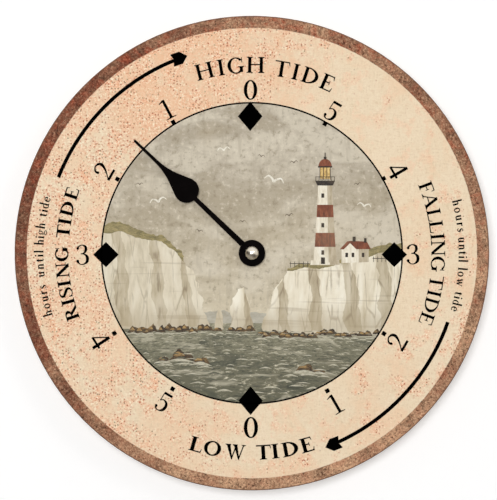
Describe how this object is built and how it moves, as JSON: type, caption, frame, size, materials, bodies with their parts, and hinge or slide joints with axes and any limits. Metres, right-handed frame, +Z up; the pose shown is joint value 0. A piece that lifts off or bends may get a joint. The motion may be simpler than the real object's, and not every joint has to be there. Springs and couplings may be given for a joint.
{
  "type": "wall tide clock",
  "caption": "Flat round wall tide clock: one hand on a printed disc, driven by a quartz tide movement behind it that hangs on a keyhole bracket.",
  "frame": {"origin": "on the hand's axis, at the rear face of the movement, which meets the wall", "axes": "+X right and +Z up as one looks at the dial, +Y into the wall"},
  "size_m": [0.3048, 0.033, 0.3048],
  "materials": {
    "board": "fine wood-composite board, rough at the back",
    "face_print": "matte print on paper, parchment tones in a copper-brown border",
    "case_plastic": "moulded black plastic",
    "cover_plastic": "moulded black plastic, finely grained",
    "inner_plastic": "natural moulded plastic",
    "screw_steel": "zinc-plated steel",
    "soft_iron": "stamped soft iron",
    "copper_wire": "fine enamelled copper wire",
    "magnet": "pressed ferrite",
    "gear_red": "moulded red plastic",
    "gear_white": "natural moulded plastic",
    "gear_brass": "turned brass",
    "knob_plastic": "moulded grey plastic",
    "board_green": "solder mask on glass fibre",
    "epoxy": "black epoxy",
    "battery_wrapper": "plain printed foil wrapper",
    "nickel_strip": "nickel-plated",
    "bracket_steel": "zinc-plated sheet",
    "rubber": "soft rubber",
    "hand_black": "satin black paint on aluminium",
    "cap_nickel": "satin nickel"
  },
  "bodies": {
    "clock": {"clock_board": "board", "printed_face": "face_print", "movement_case": "case_plastic", "rear_cover": "cover_plastic", "bearing_plate": "inner_plastic", "bearing_plate_screws": "screw_steel", "stator": "soft_iron", "stator_screws": "screw_steel", "coil_core": "soft_iron", "coil_bobbin": "inner_plastic", "coil_winding": "copper_wire", "circuit_board": "board_green", "timer_chip": "epoxy", "quartz_crystal": "nickel_strip", "positive_contact": "nickel_strip", "negative_contact": "nickel_strip", "threaded_bushing": "gear_brass", "hanger_bracket": "bracket_steel", "rubber_washer": "rubber", "brass_washer": "gear_brass", "hex_nut": "gear_brass"},
    "hand": {"tide_hand": "hand_black", "cap_nut": "cap_nickel", "tide_wheel": "gear_brass"},
    "intermediate": {"intermediate_wheel": "gear_white"},
    "set_arbor": {"set_arbor": "gear_red", "clutch_spring": "screw_steel"},
    "knob": {"set_pinion": "gear_white", "set_knob": "knob_plastic"},
    "rotor": {"rotor_magnet": "magnet", "rotor_pinion": "gear_red"},
    "first_reduction": {"first_reduction_wheel": "gear_white"},
    "second_reduction": {"second_reduction_wheel": "gear_red"},
    "third_reduction": {"third_reduction_wheel": "gear_white"},
    "centre": {"centre_wheel": "gear_white"},
    "battery": {"battery_cell": "battery_wrapper", "battery_cap": "nickel_strip"}
  },
  "joints": [
    {"name": "hand_turn", "type": "hinge", "parent": "clock", "child": "hand", "pos_m": [0, 0, 0], "axis": [0, 1, 0], "continuous": true},
    {"name": "intermediate_turn", "type": "hinge", "parent": "clock", "child": "intermediate", "pos_m": [0.00752, 0, -0.00274], "axis": [0, 1, 0], "continuous": true},
    {"name": "set_arbor_turn", "type": "hinge", "parent": "clock", "child": "set_arbor", "pos_m": [0, 0, 0], "axis": [0, 1, 0], "continuous": true},
    {"name": "set_knob_turn", "type": "hinge", "parent": "clock", "child": "knob", "pos_m": [0.01504, 0, 0], "axis": [0, 1, 0], "continuous": true},
    {"name": "rotor_turn", "type": "hinge", "parent": "clock", "child": "rotor", "pos_m": [0.01087, 0, 0.01472], "axis": [0, 1, 0], "continuous": true},
    {"name": "first_reduction_turn", "type": "hinge", "parent": "clock", "child": "first_reduction", "pos_m": [0.00546, 0, 0.01617], "axis": [0, 1, 0], "continuous": true},
    {"name": "second_reduction_turn", "type": "hinge", "parent": "clock", "child": "second_reduction", "pos_m": [-0.00054, 0, 0.01617], "axis": [0, 1, 0], "continuous": true},
    {"name": "third_reduction_turn", "type": "hinge", "parent": "clock", "child": "third_reduction", "pos_m": [-0.00494, 0, 0.00855], "axis": [0, 1, 0], "continuous": true},
    {"name": "centre_turn", "type": "hinge", "parent": "clock", "child": "centre", "pos_m": [0, 0, 0], "axis": [0, 1, 0], "continuous": true},
    {"name": "battery_slide", "type": "slide", "parent": "clock", "child": "battery", "axis": [0, 1, 0], "range_m": [0, 0.025]}
  ],
  "couplings": [
    {"joint": "intermediate_turn", "follows": "hand_turn", "ratio": -4},
    {"joint": "set_arbor_turn", "follows": "hand_turn", "ratio": 12},
    {"joint": "set_knob_turn", "follows": "hand_turn", "ratio": 12},
    {"joint": "first_reduction_turn", "follows": "rotor_turn", "ratio": -0.16667},
    {"joint": "second_reduction_turn", "follows": "rotor_turn", "ratio": 0.033333},
    {"joint": "third_reduction_turn", "follows": "rotor_turn", "ratio": -0.0037037},
    {"joint": "centre_turn", "follows": "rotor_turn", "ratio": 0.00053677}
  ]
}
